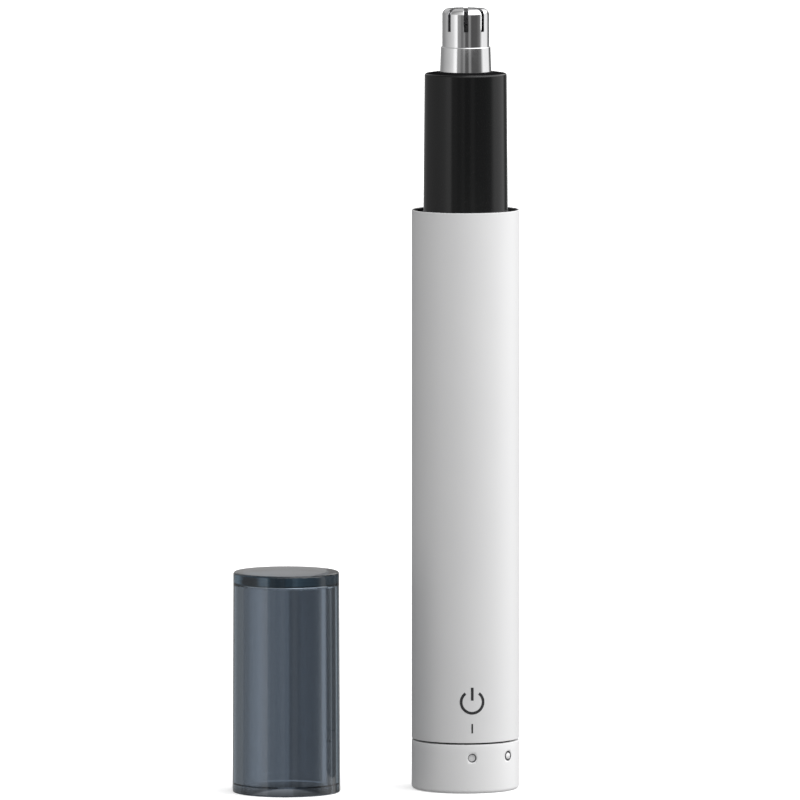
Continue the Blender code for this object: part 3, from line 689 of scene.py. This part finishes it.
coupler_foot, coupler_top = heights("drive_coupler")
coupler_outline = [
    (0, 127.2), *bend((1.3, 127.0), 0.2, 90, 0, 5), (1.5, 105.5), (2.4, 104.8), (2.4, coupler_foot),
    (0.85, coupler_foot), (0.85, 104.6), (0, 104.6),
]
coupler = lathe("coupler", coupler_outline, 64)
bpy.ops.mesh.primitive_cube_add(size=1)
square_tip = bpy.context.object
square_tip.data.transform(Matrix.Diagonal((1.7 * MM, 1.7 * MM, (coupler_top - 126.6) * MM, 1)))
square_tip.data.transform(Matrix.Translation((0, 0, (coupler_top + 126.6) / 2 * MM)))
bpy.context.view_layer.objects.active = coupler
joining = coupler.modifiers.new("joining", "BOOLEAN")
joining.operation = "UNION"
joining.solver = "EXACT"
joining.object = square_tip
bpy.ops.object.modifier_apply(modifier="joining")
bpy.data.objects.remove(square_tip, do_unlink=True)
soften_edges(coupler, 0.08)
dress(coupler, white_nylon, "drive", "white_nylon", "drive_coupler")


# ---------------------------------------------------------------------- the cap
# Moulded in clear smoke-tinted plastic, a little narrower at its closed end for draft. The
# mouth is relieved inside, and its thick flat top shows the inner ceiling through its edge.

cap_low, cap_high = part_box("cap_shell")
cap_axis = ((cap_low[0] + cap_high[0]) / 2, (cap_low[1] + cap_high[1]) / 2)
cap_foot, cap_top = heights("cap_shell")
cap_radius = widest("cap_shell")
CAP_TOP_RADIUS = 9.83
CAP_ROUND = 0.45
CAP_CEILING = 38.75
CAP_CORNER = 0.6
CAP_BORE_LOW, CAP_BORE_HIGH = 8.1, 7.95
MOUTH_RADIUS = 8.35

cap_outline = [
    (0, cap_top),
    (5.0, cap_top),
    *bend((CAP_TOP_RADIUS - CAP_ROUND, cap_top - CAP_ROUND), CAP_ROUND, 90, 0, 10),
    *bend((cap_radius - 0.3, cap_foot + 0.3), 0.3, 0, -90, 7),
    *bend((MOUTH_RADIUS + 0.2, cap_foot + 0.2), 0.2, -90, -180, 5),
    (MOUTH_RADIUS, 1.5),
    (CAP_BORE_LOW, 1.75),
    *bend((CAP_BORE_HIGH - CAP_CORNER, CAP_CEILING - CAP_CORNER), CAP_CORNER, 0, 90, 9),
    (4.0, CAP_CEILING),
    (0, CAP_CEILING),
]


def smoke_plastic():
    """Clear plastic, slate blue with its thickness, its tint darkened at the mouth as painted shade for the
    shadow inside the cap, with the haze of handling.
    """
    material, place, feed = new_finish("smoke_plastic", IOR=1.49, Transmission_Weight=1.0)
    cloud = place.noise(70, 2, (1, 1, 0.25))
    handling = place.noise(900, 4)
    clear_of_mouth_shade = place.part("Z").above(1.1 * MM, 0.9 * MM)
    feed(
        # Below about 1.1 mm the tint is darker: painted shade for the shadow that falls inside the cap's
        # mouth.
        Base_Color=(clear_of_mouth_shade * (0.85 + 0.15 * cloud)).colour((0.2, 0.215, 0.235), (0.56, 0.6, 0.665)),
        Roughness=0.02 + 0.04 * handling,
        Normal=handling.bump(0.0005 * MM, 0.1),
    )
    tint = place.make("VolumeAbsorption", {}, {"Color": (0.58, 0.66, 0.7, 1), "Density": 300.0})
    output = material.node_tree.nodes["Material Output"]
    material.node_tree.links.new(tint.socket, output.inputs["Volume"])
    return material


cap = lathe("cap", cap_outline, 192, cap_axis)
dress(cap, smoke_plastic(), "cap", "smoke_clear", "cap_shell")


# ------------------------------------------------------- the works inside the case
# Motor, cell, contacts and base fittings stay as the frame has them, sealed in the case.
# Each gets its own finish: plating, brass, enamelled wire, ferrite, a plain cell jacket.


def plated(name, dark, light, roughness, stretch=(1, 1, 1)):
    """A plated or rolled metal: faint cloudiness and fine drawing lines."""
    material, place, feed = new_finish(name, Metallic=1.0)
    lines = place.noise(1500, 3, stretch)
    feed(
        Base_Color=place.noise(300, 3).colour(dark, light),
        Roughness=roughness + 0.12 * lines,
        Normal=lines.bump(0.003 * MM, 0.5),
    )
    return material


def enamelled_winding():
    """Turns of fine enamelled wire, lying side by side."""
    material, place, feed = new_finish("enamelled_winding", Metallic=0.85)
    turns = place.make("TexWave", {"bands_direction": "Z"}, {"Vector": place, "Scale": 1700.0})
    feed(
        Base_Color=turns.colour((0.2, 0.05, 0.02), (0.8, 0.33, 0.15)),
        Roughness=0.3 + 0.2 * place.noise(3000, 2),
        Normal=turns.bump(0.05 * MM, 0.8),
    )
    return material


def cell_jacket():
    """A plain shrunk jacket in charcoal, with a bright band at its positive end."""
    material, place, feed = new_finish("cell_jacket")
    band = place.part("Z").above(53 * MM, 0.05 * MM)
    feed(
        Base_Color=band.colour((0.035, 0.04, 0.05), (0.62, 0.42, 0.2)),
        Roughness=0.22 + 0.14 * place.noise(700, 3),
        Metallic=0.75 * band,
        Normal=place.noise(1400, 2).bump(0.006 * MM, 0.5),
    )
    return material


zinc = plated("zinc_plate", (0.5, 0.5, 0.5), (0.64, 0.64, 0.63), 0.25, (1, 1, 6))
brass = plated("rolled_brass", (0.62, 0.46, 0.2), (0.78, 0.6, 0.29), 0.24, (5, 1, 1))
works = {
    "white_nylon": white_nylon,
    "black_nylon": black_nylon,
    "black_rubber": black_rubber,
    "zinc_steel": zinc,
    "brass": brass,
    "copper": enamelled_winding(),
    "ferrite": moulded("ferrite", (0.05, 0.05, 0.052), (0.08, 0.08, 0.08), 0.65, 0.03),
    "cell_jacket": cell_jacket(),
    "red_lead": moulded("red_lead", (0.5, 0.02, 0.02), (0.6, 0.035, 0.03), 0.42),
    "ceramic_disc": moulded("ceramic_disc", (0.46, 0.22, 0.06), (0.55, 0.28, 0.08), 0.55, 0.02),
}
shown_elsewhere = {
    "barrel", "base_shell", "collar", "head_skirt", "outer_blade", "inner_blade", "blade_carrier",
    "head_insert", "head_seal", "drive_coupler", "cap_shell",
}
for part in frame["record"]["subparts"]:
    if part["node"] not in shown_elsewhere:
        node_materials = frame["nodes"][part["node"]].data.materials
        node_materials.clear()
        node_materials.append(works[part["material_slot"]])


# --------------------------------------------------------------------- the set
# A wide white floor that runs off into a white room. The room's soft boxes are bands of light
# round the horizon: a large one on the right, a strip on the left, a dark card between them.

FLOOR_SIZE = 8.0
BRIGHTEST = 3.0
LOW_BAND = [  # degrees to the right of the camera, then brightness
    (-180, 0.46), (-176, 0.42), (-173, 0.68), (-166, 0.47), (-150, 0.28), (-128, 0.3), (-106, 0.46),
    (-81, 0.6), (-62, 0.8), (-52, 1.15), (-42, 1.25), (-39, 0.33), (-25, 0.3), (-22, 0.18), (-14, 0.18),
    (-11, 0.28), (-4, 0.28), (-2, 0.1), (12, 0.1), (15, 0.3), (23, 0.28), (27, 0.09), (56, 0.1), (73, 0.2),
    (86, 1.08), (126, 1.02), (138, 0.1), (156, 0.14), (161, 0.76), (166, 0.76), (169, 0.24), (180, 0.27),
]
OVERHEAD = [
    (-180, 0.6), (-130, 0.48), (-80, 0.29), (-30, 0.74), (15, 1.76), (60, 2.9), (100, 2.78), (140, 1.6),
    (180, 0.6),
]
BAND_EDGE, BAND_SOFTNESS = 0.26, 0.08
FROM_BELOW = 0.3

bpy.ops.mesh.primitive_plane_add(size=FLOOR_SIZE)
floor = bpy.context.object
floor.name = "floor"
floor_material, floor_place, floor_feed = new_finish(
    "white_floor", Roughness=0.9, Specular_IOR_Level=0.0, Emission_Strength=0.45, Emission_Color=(1, 1, 1, 1),
)
floor_feed(Base_Color=floor_place.noise(3, 2).colour((0.86, 0.86, 0.86), (0.88, 0.88, 0.88)))
floor.data.materials.append(floor_material)
floor.visible_diffuse = False
floor.visible_glossy = False
floor.visible_transmission = False

room = bpy.data.worlds.new("white_room")
bpy.context.scene.world = room
room.use_nodes = True
background = room.node_tree.nodes["Background"]
direction = Signal(room.node_tree).make("TexCoord", {}, {}, output=0)
heading = direction.sum_with("ARCTAN2", direction.part("X"), 0 - direction.part("Y"))
share_of_turn = (heading - CAMERA_TURN) * (1 / math.tau) + 0.5
turned = share_of_turn.sum_with("FRACT", share_of_turn)


def ring_of_light(levels):
    """The brightness round the horizon, from pairs of an angle and a level."""
    stops = [((angle + 180) / 360, amount / BRIGHTEST) for angle, amount in levels]
    return BRIGHTEST * turned.make("ValToRGB", {"stops": stops}, {"Fac": turned})


rise = direction.part("Z")
is_above = rise.above(BAND_EDGE, BAND_SOFTNESS)
is_below = (0 - rise).above(BAND_EDGE, BAND_SOFTNESS)
level = ring_of_light(LOW_BAND) * (1 - is_above - is_below)
level = level + ring_of_light(OVERHEAD) * (is_above + FROM_BELOW * is_below)
seen = level.make("LightPath", {}, {}, output=0)
shown_level = level * (1 - seen) + seen
room.node_tree.links.new(shown_level.socket, background.inputs["Color"])

bpy.context.scene.view_settings.view_transform = "Standard"
